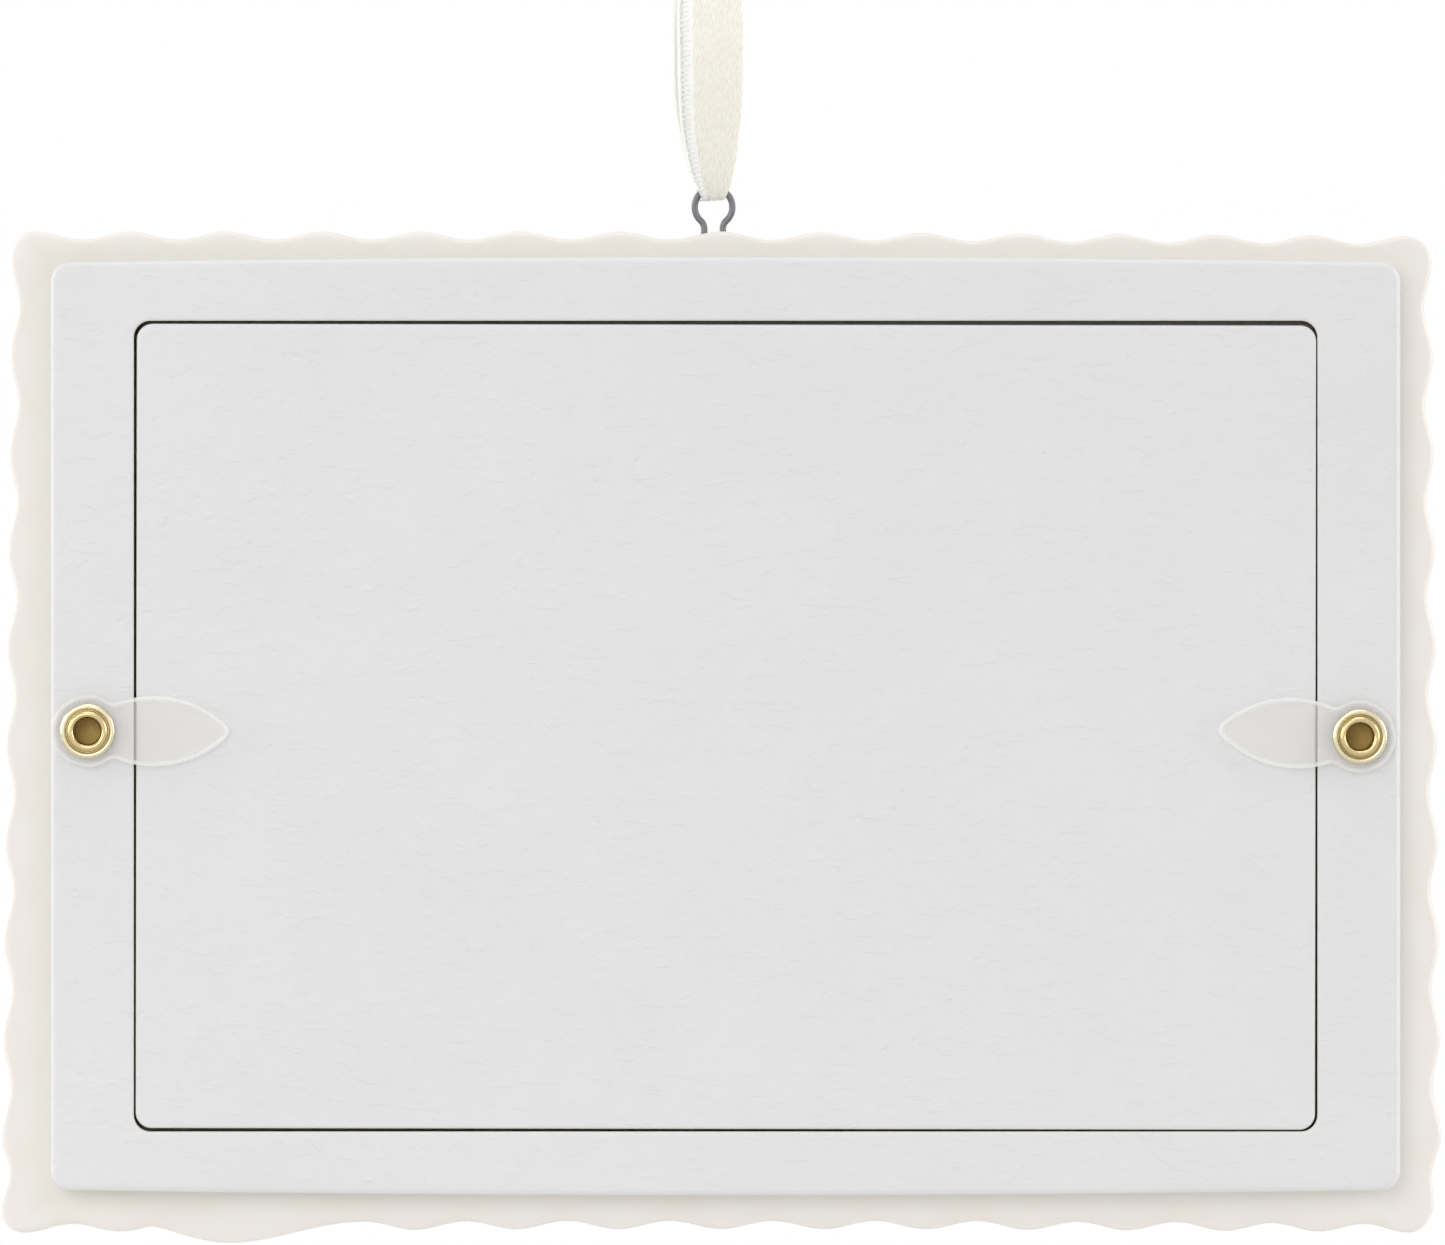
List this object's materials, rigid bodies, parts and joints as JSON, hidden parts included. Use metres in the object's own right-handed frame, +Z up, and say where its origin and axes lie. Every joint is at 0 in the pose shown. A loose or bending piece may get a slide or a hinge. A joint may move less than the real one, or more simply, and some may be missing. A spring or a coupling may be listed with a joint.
{
  "type": "hanging picture frame ornament",
  "caption": "Flat picture frame ornament with a wavy cast front frame, a white back frame and lift-out panel held by clear turn tabs on brass eyelets, a wire eye and a ribbon loop.",
  "frame": {"origin": "top of the hanger's wire eye, on the wire's centre line, where the ribbon carries the ornament", "axes": "+Z up as it hangs, the picture side faces -Y, the back with the panel and tabs faces +Y, +X to the right seen from the front"},
  "size_m": [0.1315, 0.011, 0.1304],
  "materials": {
    "ivory_resin": "satin cast ivory resin",
    "white_board": "white lacquered fibreboard with a light orange peel",
    "clear_pane": "clear polished sheet",
    "picture_card": "plain matt card",
    "clear_tab": "clear moulded plastic",
    "brass": "bright plated brass",
    "steel_wire": "drawn grey steel wire",
    "satin_ribbon": "cream satin with a woven edge"
  },
  "bodies": {
    "root": {"front_frame": "ivory_resin", "window_pane": "clear_pane", "picture_card": "picture_card", "back_frame": "white_board", "back_panel": "white_board", "left_eyelet": "brass", "right_eyelet": "brass", "left_washer": "brass", "right_washer": "brass", "hanger_wire": "steel_wire", "ribbon": "satin_ribbon", "ribbon_knot": "satin_ribbon"},
    "left_tab": {"left_tab": "clear_tab"},
    "right_tab": {"right_tab": "clear_tab"}
  },
  "joints": [
    {"name": "left_tab_turn", "type": "hinge", "parent": "root", "child": "left_tab", "pos_m": [0.05685, 0.0063, -0.04955], "axis": [0, 1, 0], "continuous": true},
    {"name": "right_tab_turn", "type": "hinge", "parent": "root", "child": "right_tab", "pos_m": [-0.0587, 0.0063, -0.05005], "axis": [0, 1, 0], "continuous": true}
  ]
}
